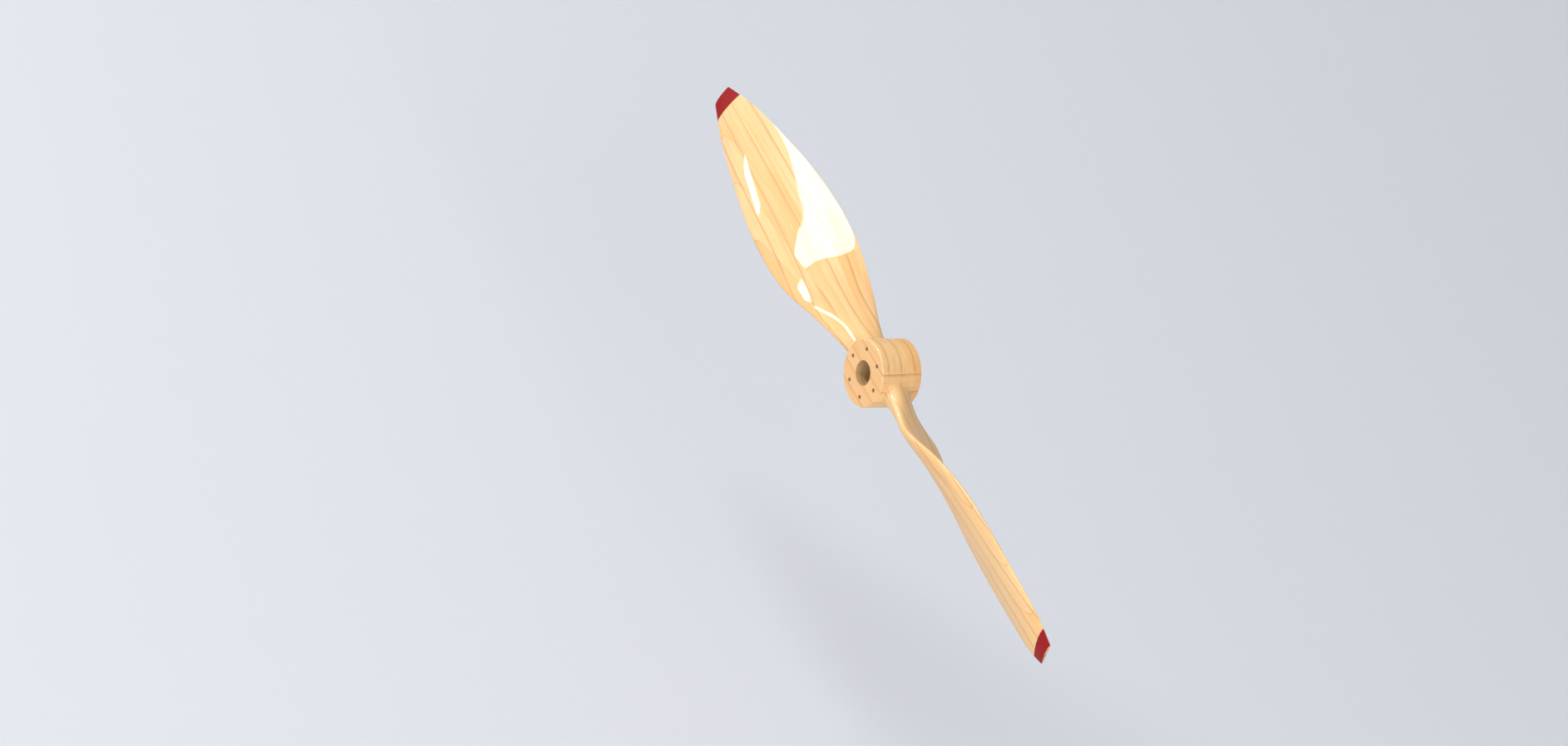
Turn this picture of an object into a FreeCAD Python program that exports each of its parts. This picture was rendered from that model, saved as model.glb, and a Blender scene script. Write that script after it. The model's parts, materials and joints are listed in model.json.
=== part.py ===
import FreeCAD, Part
import math
import os
import Sketcher

# Two-bladed wooden propeller, carved from a block of boards glued face to face.
#
# Frame: the origin is the centre of the bore on the rear face of the hub, which bolts to
# the engine's flange.  The shaft runs along Y, with the front at -Y.  The blades lie along
# X and Z is up.  Seen from the front the propeller turns anticlockwise, so the right blade
# (+X) leads with its upper edge and the left blade (-X) with its lower edge.

os.makedirs("parts", exist_ok=True)
doc = FreeCAD.newDocument("wooden_propeller")

# ---------------------------------------------------------------- driving dimensions

DIMENSIONS = [
    ("propeller_diameter", 1778.0, "tip to tip, 70 in"),
    ("hub_diameter", 155.6, "drum of the hub, 6 1/8 in"),
    ("hub_thickness", 106.68, "front face to rear face of the hub, 4.2 in"),
    ("hub_board_count", 6, "boards that pass through the hub"),
    ("board_width", 190.0, "width of the boards before carving"),
    ("rim_radius", 3.2, "rounding of the two rims of the hub"),
    ("bore_diameter", 57.15, "centre bore for the flange's pilot, 2 1/4 in"),
    ("bolt_circle_diameter", 111.125, "circle through the bolt holes, 4 3/8 in"),
    ("bolt_hole_diameter", 9.6, "clearance for a 3/8 in bolt"),
    ("bolt_count", 6, "bolt holes on the circle, the first one in line with a blade"),
    ("sheath_length", 38.5, "length of the red sheath on each tip"),
    ("sheath_skin", 0.8, "thickness of the sheath's skin"),
    ("airfoil_camber", 0.36, "camber of the outer sections, as a share of their thickness"),
    ("edge_roundness", 0.12, "share of an ellipse in the outer sections, rounds the trailing edge"),
]

# One row for each blade section, as on a carver's drawing: distance from the shaft, then
# half the width seen from the front, half the depth seen from the side, the thickness
# across the chord, and how far the section is still the round shank (1) or an airfoil (0).
STATION_COLUMNS = ["station_radius", "half_width", "half_depth", "thickness", "shank_share"]
STATIONS = [
    (64.0, 23.0, 32.0, 66.0, 1.00),
    (110.0, 27.0, 38.0, 48.0, 0.85),
    (150.0, 28.5, 48.5, 37.0, 0.60),
    (200.0, 32.5, 62.0, 30.0, 0.30),
    (250.0, 45.5, 67.0, 27.5, 0.12),
    (300.0, 63.5, 66.5, 26.0, 0.00),
    (360.0, 79.5, 63.5, 25.0, 0.00),
    (440.0, 91.0, 57.0, 23.0, 0.00),
    (540.0, 91.5, 49.0, 20.0, 0.00),
    (640.0, 82.0, 38.5, 16.5, 0.00),
    (740.0, 67.5, 25.5, 13.0, 0.00),
    (820.0, 52.5, 13.5, 9.5, 0.00),
    (889.0, 29.5, 3.2, 6.4, 0.00),
]

sheet = doc.addObject("Spreadsheet::Sheet", "Dimensions")
for row, (alias, value, meaning) in enumerate(DIMENSIONS, start=1):
    sheet.set("A%d" % row, meaning)
    sheet.set("B%d" % row, str(value))
    sheet.setAlias("B%d" % row, alias)

first_station_row = len(DIMENSIONS) + 2
for number, station in enumerate(STATIONS, start=1):
    row = first_station_row + number
    sheet.set("A%d" % row, "blade section %d" % number)
    for column, name, value in zip("BCDEF", STATION_COLUMNS, station):
        cell = "%s%d" % (column, row)
        sheet.set(cell, str(value))
        sheet.setAlias(cell, "%s_%d" % (name, number))
doc.recompute()


def dimension(alias):
    return float(sheet.get(alias))


def station_rows():
    rows = []
    for number in range(1, len(STATIONS) + 1):
        rows.append([dimension("%s_%d" % (name, number)) for name in STATION_COLUMNS])
    return rows


# ---------------------------------------------------------------------------- blades

POINTS_PER_SECTION = 44
HALF_TURN = FreeCAD.Placement(FreeCAD.Vector(), FreeCAD.Rotation(FreeCAD.Vector(0, 1, 0), 180))


def airfoil_half_thickness(share):
    # NACA four-digit thickness law for a section of unit thickness
    root = 0.2969 * math.sqrt(share)
    polynomial = -0.1260 * share - 0.3516 * share**2 + 0.2843 * share**3 - 0.1036 * share**4
    return 5.0 * (root + polynomial)


def section_wire(radius, half_width, half_depth, thickness, shank_share, inset):
    # The section lies square to the blade at the given distance from the shaft.  Its chord
    # is centred on the mid-plane of the hub.  The inset shrinks the section all round.
    middle = FreeCAD.Vector(radius, -dimension("hub_thickness") / 2, 0)
    half_chord = math.hypot(half_width, half_depth)
    along = FreeCAD.Vector(0, half_depth, -half_width) / half_chord
    forward = FreeCAD.Vector(0, -half_width, -half_depth) / half_chord
    reach = half_chord - inset
    depth = thickness - 2 * inset
    camber = dimension("airfoil_camber") * (1 - shank_share) * thickness
    ellipse = max(shank_share, dimension("edge_roundness"))
    points = []
    for index in range(POINTS_PER_SECTION + 1):
        angle = 2 * math.pi * index / POINTS_PER_SECTION
        share = (1 + math.cos(angle)) / 2
        side = 1 if math.sin(angle) >= 0 else -1
        rounded = math.sqrt(max(share * (1 - share), 0.0))
        pointed = max(airfoil_half_thickness(share), 0.0)
        offset = camber * 4 * share * (1 - share)
        offset += side * depth * (ellipse * rounded + (1 - ellipse) * pointed)
        points.append(middle + along * (reach * (2 * share - 1)) + forward * offset)
    points[-1] = points[0]
    # The sections share one parameter for each point, so the loft joins like with like.
    parameters = [index / POINTS_PER_SECTION for index in range(POINTS_PER_SECTION + 1)]
    curve = Part.BSplineCurve()
    curve.interpolate(Points=points, Parameters=parameters)
    return Part.Wire([curve.toShape()])


def blade_solid(inset):
    wires = [section_wire(*row, inset) for row in station_rows()]
    return Part.makeLoft(wires, True, False)


def left_blade(name, inset):
    blade = doc.addObject("Part::Feature", name)
    blade.Shape = blade_solid(inset)
    blade.Placement = HALF_TURN
    return blade


# ------------------------------------------------------------------------------- hub

def origin_plane(body, role):
    for feature in body.Origin.OriginFeatures:
        if feature.Role == role:
            return feature


def hub_circle(sketch, centre_x, diameter_alias, centre_alias=None):
    outline = Part.Circle(FreeCAD.Vector(centre_x, 0, 0), FreeCAD.Vector(0, 0, 1), 10)
    circle = sketch.addGeometry(outline)
    radius = sketch.addConstraint(Sketcher.Constraint("Diameter", circle, dimension(diameter_alias)))
    sketch.setExpression("Constraints[%d]" % radius, "Dimensions." + diameter_alias)
    if centre_alias is None:
        sketch.addConstraint(Sketcher.Constraint("Coincident", circle, 3, -1, 1))
    else:
        sketch.addConstraint(Sketcher.Constraint("PointOnObject", circle, 3, -1))
        place = sketch.addConstraint(Sketcher.Constraint("DistanceX", -1, 1, circle, 3, centre_x))
        sketch.setExpression("Constraints[%d]" % place, "Dimensions.%s / 2" % centre_alias)


def hub_sketch(body, name):
    sketch = body.newObject("Sketcher::SketchObject", name)
    sketch.AttachmentSupport = [(origin_plane(body, "XZ_Plane"), "")]
    sketch.MapMode = "FlatFace"
    return sketch


def build_hub():
    body = doc.addObject("PartDesign::Body", "hub_drum")
    outline = hub_sketch(body, "hub_outline")
    hub_circle(outline, 0, "hub_diameter")
    drum = body.newObject("PartDesign::Pad", "drum")
    drum.Profile = outline
    drum.setExpression("Length", "Dimensions.hub_thickness")
    doc.recompute()

    rims = body.newObject("PartDesign::Fillet", "rims")
    circles = [
        "Edge%d" % number
        for number, edge in enumerate(drum.Shape.Edges, start=1)
        if isinstance(edge.Curve, Part.Circle)
    ]
    rims.Base = (drum, circles)
    rims.setExpression("Radius", "Dimensions.rim_radius")
    doc.recompute()

    bore_outline = hub_sketch(body, "bore_outline")
    hub_circle(bore_outline, 0, "bore_diameter")
    bore = body.newObject("PartDesign::Pocket", "bore")
    bore.Profile = bore_outline
    bore.Type = "ThroughAll"
    bore.Midplane = True
    doc.recompute()

    hole_outline = hub_sketch(body, "bolt_hole_outline")
    first_hole = dimension("bolt_circle_diameter") / 2
    hub_circle(hole_outline, first_hole, "bolt_hole_diameter", "bolt_circle_diameter")
    hole = body.newObject("PartDesign::Pocket", "bolt_hole")
    hole.Profile = hole_outline
    hole.Type = "ThroughAll"
    hole.Midplane = True
    doc.recompute()

    holes = body.newObject("PartDesign::PolarPattern", "bolt_holes")
    holes.Originals = [hole]
    holes.Axis = (hole_outline, ["N_Axis"])
    holes.Angle = 360
    holes.setExpression("Occurrences", "Dimensions.bolt_count")
    body.Tip = holes
    doc.recompute()
    return body


# ---------------------------------------------------------------- carving and boards

BOARD_THICKNESS = "(Dimensions.hub_thickness / Dimensions.hub_board_count)"
RADIUS = "(Dimensions.propeller_diameter / 2)"


def combine(kind, name, base, tool):
    result = doc.addObject(kind, name)
    result.Base = base
    result.Tool = tool
    result.Label = name
    return result


def fuse(name, shapes):
    result = doc.addObject("Part::MultiFuse", name)
    result.Shapes = shapes
    return result


def half_turned(name, source):
    # The same shape on the other side of the shaft.
    result = doc.addObject("Part::Compound", name)
    result.Links = [source]
    result.Placement = HALF_TURN
    return result


def bound_box(name, length, width, height, corner):
    box = doc.addObject("Part::Box", name)
    box.setExpression("Length", length)
    box.setExpression("Width", width)
    box.setExpression("Height", height)
    for axis, expression in zip("xyz", corner):
        box.setExpression("Placement.Base." + axis, expression)
    return box


def build_left_sheath(blade, core):
    corner = ("-" + RADIUS, "-Dimensions.hub_thickness", "-Dimensions.board_width / 2")
    length = "Dimensions.sheath_length"
    zone = bound_box("tip_zone", length, "Dimensions.hub_thickness", "Dimensions.board_width", corner)
    tip = combine("Part::Common", "tip", zone, blade)
    return combine("Part::Cut", "tip_sheath_left", tip, core)


def board_box(name, number, length=RADIUS + " * 2", start="-" + RADIUS):
    # Board 0 lies in front of the hub, boards 1 to hub_board_count pass through it.
    front = "-Dimensions.hub_thickness + %d * %s" % (number - 1, BOARD_THICKNESS)
    corner = (start, front, "-Dimensions.board_width / 2")
    return bound_box(name, length, BOARD_THICKNESS, "Dimensions.board_width", corner)


def build_boards(wood):
    boards = []
    for number in range(1, int(dimension("hub_board_count")) + 1):
        box = board_box("board_%d_blank" % number, number)
        boards.append(combine("Part::Common", "board_%d" % number, box, wood))
    return boards


def build_cheeks(wood):
    # The outermost boards are carved away except for one crest on each blade.
    behind_hub = int(dimension("hub_board_count")) + 1
    cheeks = []
    for place, number in (("front", 0), ("rear", behind_hub)):
        for side, start in (("left", "-" + RADIUS), ("right", "0")):
            name = "%s_cheek_%s" % (place, side)
            box = board_box(name + "_blank", number, RADIUS, start)
            cheeks.append(combine("Part::Common", name, box, wood))
    return cheeks


hub = build_hub()
blade = left_blade("blade_left", 0.0)
tip_core = left_blade("tip_core", dimension("sheath_skin"))
sheath_left = build_left_sheath(blade, tip_core)
sheath_right = half_turned("tip_sheath_right", sheath_left)
carved = fuse("carved_blank", [hub, blade, half_turned("blade_right", blade)])
both_sheaths = fuse("both_sheaths", [sheath_left, sheath_right])
wood = combine("Part::Cut", "carved_wood", carved, both_sheaths)
pieces = build_boards(wood) + build_cheeks(wood) + [sheath_left, sheath_right]
doc.recompute()

# -------------------------------------------------------------------- check and export

for item in doc.Objects:
    if "Invalid" in item.State or "Error" in item.State:
        raise RuntimeError("failed object: " + item.Label)

for piece in pieces:
    shape = piece.Shape
    if shape.isNull() or not shape.isValid() or len(shape.Solids) != 1:
        raise RuntimeError("bad shape: %s" % piece.Label)
    shape.exportStep("parts/%s.step" % piece.Label)
    print("wrote", piece.Label)
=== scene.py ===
import json
import math

import bmesh
import bpy
import numpy as np
from mathutils import Matrix, Vector


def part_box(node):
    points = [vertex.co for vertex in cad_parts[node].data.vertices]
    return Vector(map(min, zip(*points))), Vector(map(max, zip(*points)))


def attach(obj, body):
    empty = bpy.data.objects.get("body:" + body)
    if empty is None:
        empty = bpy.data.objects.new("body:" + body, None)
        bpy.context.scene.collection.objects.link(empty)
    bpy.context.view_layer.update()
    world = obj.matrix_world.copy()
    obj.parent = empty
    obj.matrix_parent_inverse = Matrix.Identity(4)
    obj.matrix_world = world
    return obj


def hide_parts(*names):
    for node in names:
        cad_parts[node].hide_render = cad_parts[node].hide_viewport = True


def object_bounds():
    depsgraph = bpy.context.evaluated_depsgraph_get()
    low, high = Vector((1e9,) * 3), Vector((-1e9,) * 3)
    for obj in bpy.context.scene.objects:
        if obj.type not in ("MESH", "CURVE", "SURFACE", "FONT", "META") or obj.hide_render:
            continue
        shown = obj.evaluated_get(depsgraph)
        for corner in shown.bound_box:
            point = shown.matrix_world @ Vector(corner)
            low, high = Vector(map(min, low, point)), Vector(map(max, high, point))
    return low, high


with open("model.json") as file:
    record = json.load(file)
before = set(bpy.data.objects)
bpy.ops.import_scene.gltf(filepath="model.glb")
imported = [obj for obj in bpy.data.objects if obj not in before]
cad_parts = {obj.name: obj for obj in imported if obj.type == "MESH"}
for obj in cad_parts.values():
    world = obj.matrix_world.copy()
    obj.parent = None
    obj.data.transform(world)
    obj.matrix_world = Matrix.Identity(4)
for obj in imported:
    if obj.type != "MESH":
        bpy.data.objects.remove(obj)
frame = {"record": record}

# Two-bladed wooden propeller, carved from boards glued face to face and varnished, with
# red sleeves on the tips.  The shaft runs along Y with the front at -Y, the blades lie
# along X, and Z is up.  Lengths are in metres.

CAD_BOX = [list(corner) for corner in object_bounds()]
RADIUS = CAD_BOX[1][0]
SPAN = 2 * RADIUS
BOARD_COUNT = 6
HUB_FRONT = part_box("board_1")[0].y
HUB_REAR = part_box("board_%d" % BOARD_COUNT)[1].y
HUB_THICKNESS = HUB_REAR - HUB_FRONT
HUB_MIDDLE = Vector((0, (HUB_FRONT + HUB_REAR) / 2, 0))
BOARD_THICKNESS = HUB_THICKNESS / BOARD_COUNT
MOUNTS = {mount["name"]: mount["dims"] for mount in frame["record"]["mounts"]}
BORE_RADIUS = MOUNTS["shaft_bore"]["r_mm"] / 1000
BOLT_CIRCLE_RADIUS = MOUNTS["flange_bolts"]["pcd_mm"] / 2000
BOLT_HOLE_RADIUS = MOUNTS["flange_bolts"]["hole_r_mm"] / 1000
BOLT_COUNT = MOUNTS["flange_bolts"]["count"]
HALF_TURN = Matrix.Rotation(math.pi, 4, "Y")

# ------------------------------------------------------------------ blade shape

# The blade's sections as in the CAD model: distance from the shaft, half the width seen
# from the front, half the depth seen from the side, thickness, and how far the section
# is still the round shank (1) or an airfoil (0).
STATIONS = (
    (0.064, 0.0230, 0.0320, 0.0660, 1.00),
    (0.110, 0.0270, 0.0380, 0.0480, 0.85),
    (0.150, 0.0285, 0.0485, 0.0370, 0.60),
    (0.200, 0.0325, 0.0620, 0.0300, 0.30),
    (0.250, 0.0455, 0.0670, 0.0275, 0.12),
    (0.300, 0.0635, 0.0665, 0.0260, 0.00),
    (0.360, 0.0795, 0.0635, 0.0250, 0.00),
    (0.440, 0.0910, 0.0570, 0.0230, 0.00),
    (0.540, 0.0915, 0.0490, 0.0200, 0.00),
    (0.640, 0.0820, 0.0385, 0.0165, 0.00),
    (0.740, 0.0675, 0.0255, 0.0130, 0.00),
    (0.820, 0.0525, 0.0135, 0.0095, 0.00),
    (RADIUS, 0.0295, 0.0032, 0.0064, 0.00),
)
CAMBER = 0.36                   # of the outer sections, as a share of their thickness
EDGE_ROUNDNESS = 0.12           # share of an ellipse, rounds the trailing edge
HUB_RADIUS = 0.0778
RIM_RADIUS = 0.0032
ROOT_FILLET = 0.004             # blends each blade into the hub
SHEATH_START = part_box("tip_sheath_right")[0].x
SHEATH_SKIN = 0.0008
POINTS_ROUND = 128
RING_STEP = 0.0035              # between the rings of points along the blade
SHEATH_RINGS = 14
DRUM_SEGMENTS = 192
HOLE_SEGMENTS = 40
SHARP_ANGLE = math.radians(38)  # edges sharper than this aren't shaded smooth


def airfoil_half_thickness(share):
    # NACA four-digit thickness law for a section of unit thickness
    polynomial = -0.1260 * share - 0.3516 * share**2 + 0.2843 * share**3 - 0.1036 * share**4
    return np.maximum(5 * (0.2969 * np.sqrt(share) + polynomial), 0)


def section(radius, half_width, half_depth, thickness, shank_share, inset):
    """The points round one section of the right blade, shrunk all round by the inset."""
    half_chord = math.hypot(half_width, half_depth)
    along = np.array((0, half_depth, -half_width)) / half_chord
    forward = np.array((0, -half_width, -half_depth)) / half_chord
    angles = np.arange(POINTS_ROUND) * 2 * math.pi / POINTS_ROUND
    share = (1 + np.cos(angles)) / 2
    side = np.where(np.sin(angles) >= 0, 1, -1)
    ellipse = max(shank_share, EDGE_ROUNDNESS)
    shape = ellipse * np.sqrt(share * (1 - share)) + (1 - ellipse) * airfoil_half_thickness(share)
    rise = CAMBER * (1 - shank_share) * thickness * 4 * share * (1 - share)
    rise = rise + side * (thickness - 2 * inset) * shape
    reach = (half_chord - inset) * (2 * share - 1)
    return np.array((radius, HUB_MIDDLE.y, 0)) + np.outer(reach, along) + np.outer(rise, forward)


def spline_through(knots, values):
    """A natural cubic spline through the values, as a function of the distance."""
    steps = np.diff(knots)
    slopes = np.diff(values, axis=0) / steps[:, None]
    matrix = np.eye(len(knots))
    right = np.zeros_like(values)
    for i in range(1, len(knots) - 1):
        matrix[i, i - 1 : i + 2] = steps[i - 1], 2 * (steps[i - 1] + steps[i]), steps[i]
        right[i] = 6 * (slopes[i] - slopes[i - 1])
    bends = np.linalg.solve(matrix, right)

    def at(distances):
        i = np.clip(np.searchsorted(knots, distances) - 1, 0, len(steps) - 1)
        step = steps[i][:, None]
        after = (distances - knots[i])[:, None] / step
        before = 1 - after
        straight = before * values[i] + after * values[i + 1]
        bent = (before**3 - before) * bends[i] + (after**3 - after) * bends[i + 1]
        return straight + bent * step**2 / 6

    return at


def blade_rings(distances, inset=0.0):
    """Rings of points round the right blade at these distances from the shaft."""
    knots = np.array([station[0] for station in STATIONS])
    drawn = np.array([section(*station, inset).ravel() for station in STATIONS])
    return spline_through(knots, drawn)(np.asarray(distances)).reshape(-1, POINTS_ROUND, 3)


def with_root_fillet(rings):
    """Spreads the rings close to the hub outwards, along an arc that meets its drum."""
    turned = np.roll(rings, -1, axis=1) - np.roll(rings, 1, axis=1)
    outward = np.stack((np.zeros_like(turned[..., 0]), turned[..., 2], -turned[..., 1]), axis=-1)
    outward /= np.linalg.norm(outward, axis=-1, keepdims=True)
    outward *= np.sign(((rings - rings.mean(axis=1, keepdims=True)) * outward).sum(-1).mean())
    gap = np.clip(np.hypot(rings[..., 0], rings[..., 2]) - HUB_RADIUS, 0, ROOT_FILLET)
    spread = ROOT_FILLET - np.sqrt(ROOT_FILLET**2 - (ROOT_FILLET - gap) ** 2)
    return rings + outward * spread[..., None]


# ----------------------------------------------------------------------- meshes

def new_object(name, mesh):
    thing = bpy.data.objects.new(name, mesh)
    bpy.context.scene.collection.objects.link(thing)
    return thing


def ring_faces(count, around, closed):
    """Quads between neighbouring rings of points, and back to the first ring if closed."""
    faces = []
    for ring in range(count if closed else count - 1):
        here, beyond = ring * around, (ring + 1) % count * around
        for point in range(around):
            beside = (point + 1) % around
            faces.append((here + point, here + beside, beyond + beside, beyond + point))
    return faces


def ringed_mesh(name, rings, closed=False, turn=Matrix()):
    """A solid through rings of points: a tube with flat caps, or closed on itself."""
    count, around = rings.shape[:2]
    caps = [tuple(range(around)), tuple(range((count - 1) * around, count * around))]
    faces = ring_faces(count, around, closed)
    mesh = bpy.data.meshes.new(name)
    mesh.from_pydata(rings.reshape(-1, 3).tolist(), [], faces if closed else caps + faces)
    return tidied(mesh, turn)


def tidied(mesh, turn):
    """Faces outwards, and turned about the shaft."""
    shape = bmesh.new()
    shape.from_mesh(mesh)
    bmesh.ops.recalc_face_normals(shape, faces=shape.faces)
    if shape.calc_volume(signed=True) < 0:
        bmesh.ops.reverse_faces(shape, faces=shape.faces)
    shape.transform(turn)
    shape.to_mesh(mesh)
    shape.free()
    return mesh


def lathe_mesh(name, profile, segments):
    """Turns a closed profile of (radius, y) points about the shaft.  The first ring stands
    half a segment away from the blades."""
    radii, depths = np.array(profile).T
    rings = []
    for number in range(segments):
        angle = 2 * math.pi * (number + 0.5) / segments
        rings.append(np.stack((radii * math.cos(angle), depths, radii * math.sin(angle)), axis=-1))
    return ringed_mesh(name, np.array(rings), closed=True)


def rod_mesh(name, radius, segments, x, z):
    """A rod along Y that runs past both faces of the hub."""
    angles = (np.arange(segments) + 0.3) * 2 * math.pi / segments
    circle = np.stack((x + radius * np.cos(angles), 0 * angles, z + radius * np.sin(angles)), axis=-1)
    margin = HUB_THICKNESS / 4
    rings = [circle + (0, HUB_FRONT - margin, 0), circle + (0, HUB_REAR + margin, 0)]
    return ringed_mesh(name, np.array(rings))


def drum_mesh():
    """The hub's drum with rounded rims and its centre bore."""
    corner = HUB_RADIUS - RIM_RADIUS
    front = [(BORE_RADIUS, HUB_FRONT), (corner - RIM_RADIUS / 10, HUB_FRONT)]
    for degrees in range(0, 91, 10):
        angle = math.radians(degrees)
        depth = HUB_FRONT + RIM_RADIUS * (1 - math.cos(angle))
        front.append((corner + RIM_RADIUS * math.sin(angle), depth))
    rear = [(radius, HUB_FRONT + HUB_REAR - depth) for radius, depth in reversed(front)]
    return lathe_mesh("drum", front + rear, DRUM_SEGMENTS)


def combined(mesh, tools, operation):
    """The mesh joined with the tools, or cut by them."""
    base = new_object("base", mesh)
    helpers = []
    for tool in tools:
        helper = new_object("tool", tool)
        helpers.append(helper)
        modifier = base.modifiers.new("carve", "BOOLEAN")
        modifier.operation = operation
        modifier.solver = "EXACT"
        modifier.object = helper
    seen = base.evaluated_get(bpy.context.evaluated_depsgraph_get())
    result = bpy.data.meshes.new_from_object(seen)
    for helper in [base, *helpers]:
        bpy.data.objects.remove(helper)
    return result


def box_mesh(name, low, high):
    """A box between two corners."""
    shape = bmesh.new()
    bmesh.ops.create_cube(shape, size=1)
    sizes = [b - a for a, b in zip(low, high)]
    middle = [(a + b) / 2 for a, b in zip(low, high)]
    shape.transform(Matrix.Translation(middle) @ Matrix.Diagonal((*sizes, 1)))
    mesh = bpy.data.meshes.new(name)
    shape.to_mesh(mesh)
    shape.free()
    return mesh


def shaded_like(mesh, whole):
    """Gives a slice's blades the smooth shading that they have on the whole shape."""
    piece, source = new_object("slice", mesh), new_object("whole", whole)
    beyond = HUB_RADIUS + RIM_RADIUS / 10
    blades = [point.index for point in mesh.vertices if math.hypot(point.co.x, point.co.z) > beyond]
    piece.vertex_groups.new(name="blades").add(blades, 1, "REPLACE")
    transfer = piece.modifiers.new("shading", "DATA_TRANSFER")
    transfer.object = source
    transfer.use_loop_data = True
    transfer.data_types_loops = {"CUSTOM_NORMAL"}
    transfer.loop_mapping = "POLYINTERP_NEAREST"
    transfer.vertex_group = "blades"
    seen = piece.evaluated_get(bpy.context.evaluated_depsgraph_get())
    result = bpy.data.meshes.new_from_object(seen)
    bpy.data.objects.remove(piece)
    bpy.data.objects.remove(source)
    return result


def smooth(mesh):
    mesh.shade_smooth()
    mesh.set_sharp_from_angle(angle=SHARP_ANGLE)
    return mesh


def slice_between(whole, name, front):
    """The part of a smooth shape that lies in one board."""
    board = box_mesh("board", (-SPAN, front, -RADIUS), (SPAN, front + BOARD_THICKNESS, RADIUS))
    result = shaded_like(smooth(combined(whole, [board], "INTERSECT")), whole)
    result.name = name
    return result


def placed(name, mesh, node):
    """The finished piece, riding on the frame and standing for its CAD node."""
    piece = new_object(name, mesh)
    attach(piece, "root")
    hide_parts(node)
    return piece


def ring_distances():
    """Where the blade's rings stand: from inside the drum, closely through the fillet, and
    then evenly to the sheath."""
    root = np.arange(0.070, HUB_RADIUS + 2 * ROOT_FILLET, ROOT_FILLET / 8)
    steps = round((SHEATH_START - root[-1]) / RING_STEP)
    return np.concatenate(([STATIONS[0][0]], root, np.linspace(root[-1], SHEATH_START, steps)[1:]))


def sheath_distances():
    return np.linspace(SHEATH_START, RADIUS, SHEATH_RINGS)


def wooden_blade():
    """Rings of the right blade's wood, which is thinner inside the sheath by its skin."""
    bare = with_root_fillet(blade_rings(ring_distances()))
    core = blade_rings(sheath_distances(), SHEATH_SKIN)
    return np.concatenate((bare, core))


def sheath_mesh(name, turn):
    """A thin sleeve, open at both ends."""
    outer = blade_rings(sheath_distances())
    inner = blade_rings(sheath_distances(), SHEATH_SKIN)
    return ringed_mesh(name, np.concatenate((outer, inner[::-1])), closed=True, turn=turn)


def carved_shape(blades):
    """The hub's drum, drilled, with both blades."""
    holes = []
    for number in range(BOLT_COUNT):
        angle = 2 * math.pi * number / BOLT_COUNT
        x, z = BOLT_CIRCLE_RADIUS * math.cos(angle), BOLT_CIRCLE_RADIUS * math.sin(angle)
        holes.append(rod_mesh("hole", BOLT_HOLE_RADIUS, HOLE_SEGMENTS, x, z))
    drum = combined(drum_mesh(), holes, "DIFFERENCE")
    return smooth(combined(drum, [blade.copy() for blade in blades], "UNION"))


def make_wood():
    rings = wooden_blade()
    right = smooth(ringed_mesh("blade", rings))
    left = smooth(ringed_mesh("blade", rings, turn=HALF_TURN))
    carved = carved_shape([left, right])
    pieces = []
    for number in range(1, BOARD_COUNT + 1):
        name = "board_%d" % number
        mesh = slice_between(carved, name, HUB_FRONT + (number - 1) * BOARD_THICKNESS)
        pieces.append(placed("wood_" + name, mesh, name))
    for place, front in (("front", HUB_FRONT - BOARD_THICKNESS), ("rear", HUB_REAR)):
        for side, blade in (("right", right), ("left", left)):
            name = "%s_cheek_%s" % (place, side)
            pieces.append(placed("wood_" + name, slice_between(blade, name, front), name))
    return pieces


def make_sheaths():
    pieces = []
    for side, turn in (("left", HALF_TURN), ("right", Matrix())):
        name = "tip_sheath_" + side
        pieces.append(placed("red_" + name, smooth(sheath_mesh(name, turn)), name))
    return pieces


# ------------------------------------------------------------------ node helpers

class Tree:
    """Short calls for building a material's nodes."""

    def __init__(self, name):
        self.material = bpy.data.materials.new(name)
        self.material.use_nodes = True
        self.nodes = self.material.node_tree.nodes
        self.links = self.material.node_tree.links
        self.shader = self.nodes["Principled BSDF"]

    def put(self, value, socket):
        if isinstance(value, bpy.types.NodeSocket):
            self.links.new(value, socket)
        else:
            socket.default_value = value

    def node(self, kind, settings=(), **values):
        node = self.nodes.new(kind)
        for key, value in dict(settings).items():
            setattr(node, key, value)
        for key, value in values.items():
            self.put(value, node.inputs[key])
        return node

    def maths(self, operation, first, second=0.0, clamp=False):
        node = self.node("ShaderNodeMath", {"operation": operation, "use_clamp": clamp})
        self.put(first, node.inputs[0])
        self.put(second, node.inputs[1])
        return node.outputs[0]

    def ramp(self, value, low, high, start=0.0, end=1.0):
        node = self.node("ShaderNodeMapRange", {"interpolation_type": "SMOOTHSTEP"})
        for socket, number in zip(node.inputs, (value, low, high, start, end)):
            self.put(number, socket)
        return node.outputs["Result"]

    def mix(self, share, first, second, blend="MIX"):
        node = self.node("ShaderNodeMix", {"data_type": "RGBA", "blend_type": blend})
        self.put(share, node.inputs[0])
        self.put(first, node.inputs[6])
        self.put(second, node.inputs[7])
        return node.outputs[2]

    def blend(self, share, first, second):
        node = self.node("ShaderNodeMix", {"data_type": "FLOAT"})
        self.put(share, node.inputs[0])
        self.put(first, node.inputs[2])
        self.put(second, node.inputs[3])
        return node.outputs[0]

    def noise(self, place, scale, detail):
        node = self.node("ShaderNodeTexNoise", {}, Vector=place, Scale=scale, Detail=detail)
        return node.outputs["Fac"]

    def stretched(self, place, scale, offset=(0, 0, 0)):
        node = self.node("ShaderNodeMapping", {}, Vector=place)
        node.inputs["Scale"].default_value = scale
        node.inputs["Location"].default_value = offset
        return node.outputs[0]


# --------------------------------------------------------------------- materials

PALE_WOOD = (0.88, 0.57, 0.27, 1)
WARM_WOOD = (0.86, 0.485, 0.195, 1)
DARK_WOOD = (0.55, 0.235, 0.075, 1)
# Painted shade: a grey tint multiplied onto the walls of the bore and the bolt holes
DRILLED_WALL_PAINTED_SHADE = (0.62, 0.66, 0.70, 1)
RED = (0.31, 0.015, 0.013, 1)
DEEP_RED = (0.27, 0.011, 0.011, 1)

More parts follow.
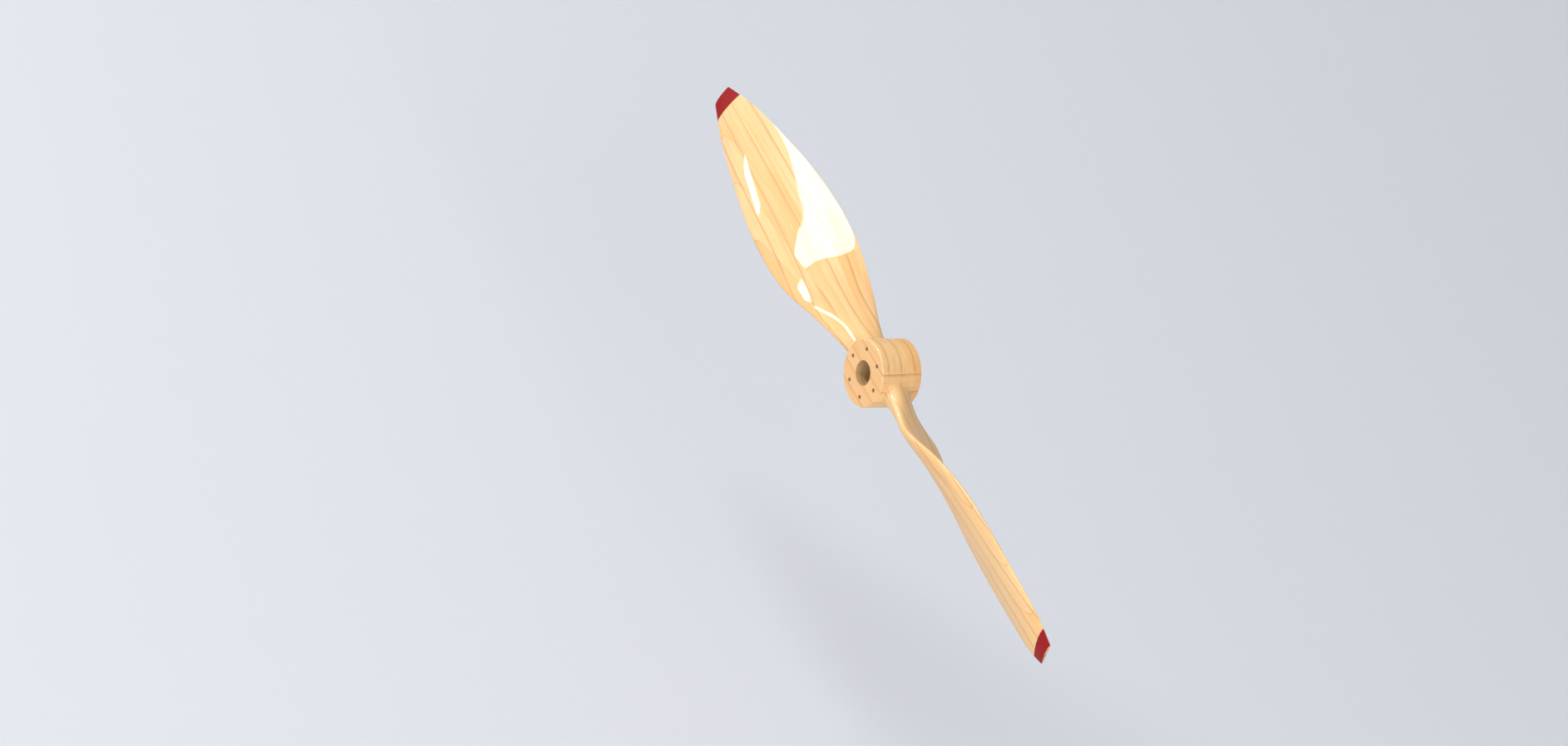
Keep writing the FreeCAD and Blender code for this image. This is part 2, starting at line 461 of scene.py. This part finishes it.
# Growth lines: spacing, shift in spacings, sharpness and darkness
BROAD_LINES = (0.0357, 0.0, 14.0, 0.85)
MIDDLE_LINES = (0.0131, 0.4, 7.0, 0.32)
NARROW_LINES = (0.0037, 0.3, 2.0, 0.16)
BROAD_LINE_HEIGHT = 0.018       # one of the broad lines, above the shaft

# Noise drawn out along the blades: its scale along the grain and across it, and its detail
SWAY = (1.4, 5, 1.0)
WAVER = (7, 30, 2.0)
FADING = (3, 26, 2.0)
FIBRE = (14, 700, 3.0)
STREAK = (4, 120, 2.0)
SWAY_SIZE = 0.011
WAVER_SIZE = 0.002
FIBRE_DARKNESS = 0.28
STREAK_DARKNESS = 0.34
FIBRE_RELIEF = 0.0004

GLUE_LINE = 0.0004              # half its width
GLUE_DARKNESS = 0.32
VARNISH = 0.26


def growth_lines(tree, across, spacing, shift, sharpness, darkness):
    """Dark late wood that builds up towards one edge and ends there."""
    turns = tree.maths("ADD", tree.maths("DIVIDE", across, spacing), shift)
    return tree.maths("MULTIPLY", tree.maths("POWER", tree.maths("FRACT", turns), sharpness), darkness)


def grain(tree, across, fading):
    """Growth lines at three spacings, the finer ones fading here and there."""
    broad = growth_lines(tree, across, *BROAD_LINES)
    middle = growth_lines(tree, across, *MIDDLE_LINES)
    fine = tree.maths("ADD", middle, growth_lines(tree, across, *NARROW_LINES))
    return tree.maths("ADD", broad, tree.maths("MULTIPLY", fine, fading))


def centred(tree, value, size):
    """A noise about zero, with this much between its extremes."""
    return tree.maths("MULTIPLY", tree.maths("SUBTRACT", value, 0.5), size)


def along_grain(tree, place, along, across, detail):
    return tree.noise(tree.stretched(place, (along, across, across)), 1.0, detail)


def grain_pattern(tree, place, axes, turned):
    """The grain runs along the blades and wanders a little.  It is seen as lines across Z
    from the front and as lines across Y from above."""
    sway = centred(tree, along_grain(tree, place, *SWAY), SWAY_SIZE)
    waver = centred(tree, along_grain(tree, place, *WAVER), WAVER_SIZE)
    wander = tree.maths("ADD", sway, waver)
    fading = tree.ramp(along_grain(tree, place, *FADING), 0.35, 0.65, 0.15, 1.0)
    height = tree.maths("SUBTRACT", axes["Z"], BROAD_LINE_HEIGHT)
    depth = tree.maths("SUBTRACT", axes["Y"], HUB_MIDDLE.y)
    from_front = grain(tree, tree.maths("ADD", height, wander), fading)
    from_above = grain(tree, tree.maths("ADD", depth, wander), fading)
    level = tree.maths("SUBTRACT", turned["Z"], tree.maths("MAXIMUM", turned["X"], turned["Y"]))
    return tree.blend(tree.ramp(level, -0.1, 0.1), from_front, from_above)


def glue_lines(tree, axes):
    """Dark where board meets board, and so on the hub's two faces, which lie in such planes."""
    beyond = tree.maths("SUBTRACT", axes["Y"], HUB_FRONT - BOARD_THICKNESS / 2)
    within = tree.maths("FRACT", tree.maths("DIVIDE", beyond, BOARD_THICKNESS))
    share = tree.maths("ABSOLUTE", tree.maths("SUBTRACT", within, 0.5))
    apart = tree.maths("MULTIPLY", share, BOARD_THICKNESS)
    return tree.ramp(apart, GLUE_LINE / 2, GLUE_LINE, GLUE_DARKNESS, 0.0)


def drilled_walls(tree, place, turned):
    """1 on the walls of the bore and the bolt holes, which have no varnish and are darkened with
    painted shade.
    """
    radial = tree.node("ShaderNodeVectorMath", {"operation": "LENGTH"})
    tree.put(tree.stretched(place, (1, 0, 1)), radial.inputs[0])
    radius, rim = radial.outputs["Value"], HUB_RADIUS - 2 * RIM_RADIUS
    inside = tree.ramp(radius, rim - RIM_RADIUS, rim, 1.0, 0.0)
    return tree.maths("MULTIPLY", inside, tree.ramp(turned["Y"], 0.3, 0.7, 1.0, 0.0))


def wood_material(name, number):
    """Varnished wood, with a cloudy tint of its own for each numbered piece."""
    tree = Tree(name)
    place = tree.node("ShaderNodeTexCoord").outputs["Object"]
    axes = tree.node("ShaderNodeSeparateXYZ", {}, Vector=place).outputs
    normal = tree.node("ShaderNodeNewGeometry").outputs["Normal"]
    facing = tree.node("ShaderNodeSeparateXYZ", {}, Vector=normal).outputs
    turned = {axis: tree.maths("ABSOLUTE", facing[axis]) for axis in "XYZ"}

    lines = grain_pattern(tree, place, axes, turned)
    fibre = along_grain(tree, place, *FIBRE)
    streak = along_grain(tree, place, *STREAK)
    darkness = tree.maths("ADD", lines, centred(tree, fibre, FIBRE_DARKNESS))
    darkness = tree.maths("ADD", darkness, centred(tree, streak, STREAK_DARKNESS), True)
    cloud = tree.noise(tree.stretched(place, (2.6, 11, 11), (number * 0.4, 3, 7)), 1.0, 2.0)
    ground = tree.mix(tree.ramp(cloud, 0.42, 0.68), PALE_WOOD, WARM_WOOD)
    colour = tree.mix(darkness, ground, DARK_WOOD)
    colour = tree.mix(glue_lines(tree, axes), colour, DARK_WOOD)
    drilled = drilled_walls(tree, place, turned)
    # Painted shade in the bore and the bolt holes: their walls are darkened by a grey tint
    colour = tree.mix(drilled, colour, tree.mix(1.0, colour, DRILLED_WALL_PAINTED_SHADE, "MULTIPLY"))

    bump = tree.node("ShaderNodeBump", {}, Strength=0.12, Distance=FIBRE_RELIEF, Height=fibre)
    tree.put(colour, tree.shader.inputs["Base Color"])
    tree.put(tree.ramp(fibre, 0.3, 0.7, 0.42, 0.58), tree.shader.inputs["Roughness"])
    tree.put(bump.outputs["Normal"], tree.shader.inputs["Normal"])
    tree.put(tree.ramp(drilled, 0.0, 1.0, VARNISH, 0.0), tree.shader.inputs["Coat Weight"])
    tree.shader.inputs["Specular IOR Level"].default_value = 0.1
    tree.shader.inputs["Coat Roughness"].default_value = 0.03
    tree.shader.inputs["Coat IOR"].default_value = 1.5
    return tree.material


def red_material():
    tree = Tree("red_tip")
    place = tree.node("ShaderNodeTexCoord").outputs["Object"]
    tree.put(tree.mix(tree.noise(place, 60.0, 3.0), RED, DEEP_RED), tree.shader.inputs["Base Color"])
    tree.shader.inputs["Roughness"].default_value = 0.42
    tree.shader.inputs["Specular IOR Level"].default_value = 0.05
    return tree.material


def paint(piece, material):
    piece.data.materials.clear()
    piece.data.materials.append(material)


# ------------------------------------------------------------------------- stage

SIGHT_TO_SHAFT = math.acos(0.572)       # between the line of sight and the shaft
BLADES_TURNED = math.radians(45.25)     # how far the blades lean in the picture
FRAME_WIDTH = 1.977 * SPAN
HUB_ASIDE = 0.1242 * SPAN               # the hub stands this far right of the middle
LENS = 600.0                            # lens and sensor are in millimetres
SENSOR = 36.0
FLOOR_HEIGHT = -1.1 * RADIUS
FLOOR_REACH = 60.0
FLOOR_COLOUR = (0.66, 0.68, 0.73, 1)
SKY_COLOUR = (0.94, 0.95, 0.97, 1)
SKY_STRENGTH = 0.38


def make_camera():
    sine, cosine = math.sin(SIGHT_TO_SHAFT), math.cos(SIGHT_TO_SHAFT)
    across, along = math.sin(BLADES_TURNED), math.cos(BLADES_TURNED)
    right = Vector((across * cosine, sine, along * cosine))
    up = Vector((-along, 0, across))
    back = right.cross(up)
    data = bpy.data.cameras.new("camera")
    data.lens = LENS
    data.sensor_width = SENSOR
    camera = new_object("camera", data)
    distance = FRAME_WIDTH * LENS / SENSOR
    place = HUB_MIDDLE - right * HUB_ASIDE + back * distance
    turn = Matrix((right, up, back)).transposed().to_4x4()
    camera.matrix_world = Matrix.Translation(place) @ turn
    bpy.context.scene.camera = camera


def make_floor():
    signs = [(-1, -1), (1, -1), (1, 1), (-1, 1)]
    corners = [(x * FLOOR_REACH, y * FLOOR_REACH, FLOOR_HEIGHT) for x, y in signs]
    mesh = bpy.data.meshes.new("floor")
    mesh.from_pydata(corners, [], [(0, 1, 2, 3)])
    floor = new_object("floor", mesh)
    tree = Tree("pale_floor")
    tree.shader.inputs["Base Color"].default_value = FLOOR_COLOUR
    tree.shader.inputs["Roughness"].default_value = 0.8
    mesh.materials.append(tree.material)


def direction(azimuth, elevation):
    """Azimuth 0 is in front of the propeller, and 90 on its right."""
    turn, rise = math.radians(azimuth), math.radians(elevation)
    flat = math.cos(rise)
    return Vector((math.sin(turn) * flat, -math.cos(turn) * flat, math.sin(rise)))


def between(left, low, right, high):
    """The corners of a panel between two azimuths and two elevations."""
    return [(left, low), (right, low), (right, high), (left, high)]


def make_panel(name, spot, distance, radiance, corners, light="both"):
    """A light panel that the camera doesn't see, its corners given as azimuths and elevations
    from a spot.  It may show only in reflections ("shine"), or only light the surfaces
    ("soft")."""
    places = [spot + direction(*corner) * distance for corner in corners]
    mesh = bpy.data.meshes.new(name)
    mesh.from_pydata(places, [], [tuple(range(len(places)))])
    panel = new_object(name, mesh)
    panel.visible_camera = False
    panel.visible_shadow = False
    panel.visible_diffuse = light != "shine"
    panel.visible_glossy = light != "soft"
    tree = Tree(name)
    tree.shader.inputs["Base Color"].default_value = (0, 0, 0, 1)
    tree.shader.inputs["Emission Color"].default_value = (1, 1, 1, 1)
    tree.shader.inputs["Emission Strength"].default_value = radiance
    mesh.materials.append(tree.material)


def make_panels():
    hub = HUB_MIDDLE
    inner_blade = hub + Vector((-0.3 * RADIUS, 0, 0))
    blade = hub + Vector((-0.45 * RADIUS, 0, 0))
    outer_edge = hub + Vector((-0.71 * RADIUS, -0.032, -0.036))
    key = [(-48, 21), (-45, 13), (-41, 18.5), (-38, 28.5), (-24, 66), (-35, 69), (-43, 53), (-46.5, 31)]
    make_panel("key_shine", blade, 18, 50, key, "shine")
    make_panel("key_soft", blade, 18, 18.5, key, "soft")
    left = between(-77, 18, -69, 32)
    make_panel("left_shine", hub, 14, 18, left, "shine")
    make_panel("left_soft", hub, 14, 12, left, "soft")
    make_panel("edge_shine", inner_blade, 5, 50, [(-55, 4), (-50, 4), (-50, 14), (-55, 17)], "shine")
    make_panel("low_shine", outer_edge, 1, 60, between(-45, -7, -39, -1), "shine")
    make_panel("side_panel", hub, 14, 5.2, between(52, 16, 86, 48))
    make_panel("front_panel", hub, 14, 3.4, between(13, -3, 43, 18))


def make_world():
    world = bpy.data.worlds.new("studio")
    bpy.context.scene.world = world
    world.use_nodes = True
    background = world.node_tree.nodes["Background"]
    background.inputs["Color"].default_value = SKY_COLOUR
    background.inputs["Strength"].default_value = SKY_STRENGTH


for number, piece in enumerate(make_wood()):
    paint(piece, wood_material(piece.name, number))
for piece in make_sheaths():
    paint(piece, red_material())
make_camera()
make_floor()
make_world()
make_panels()
bpy.context.scene.view_settings.view_transform = "Standard"
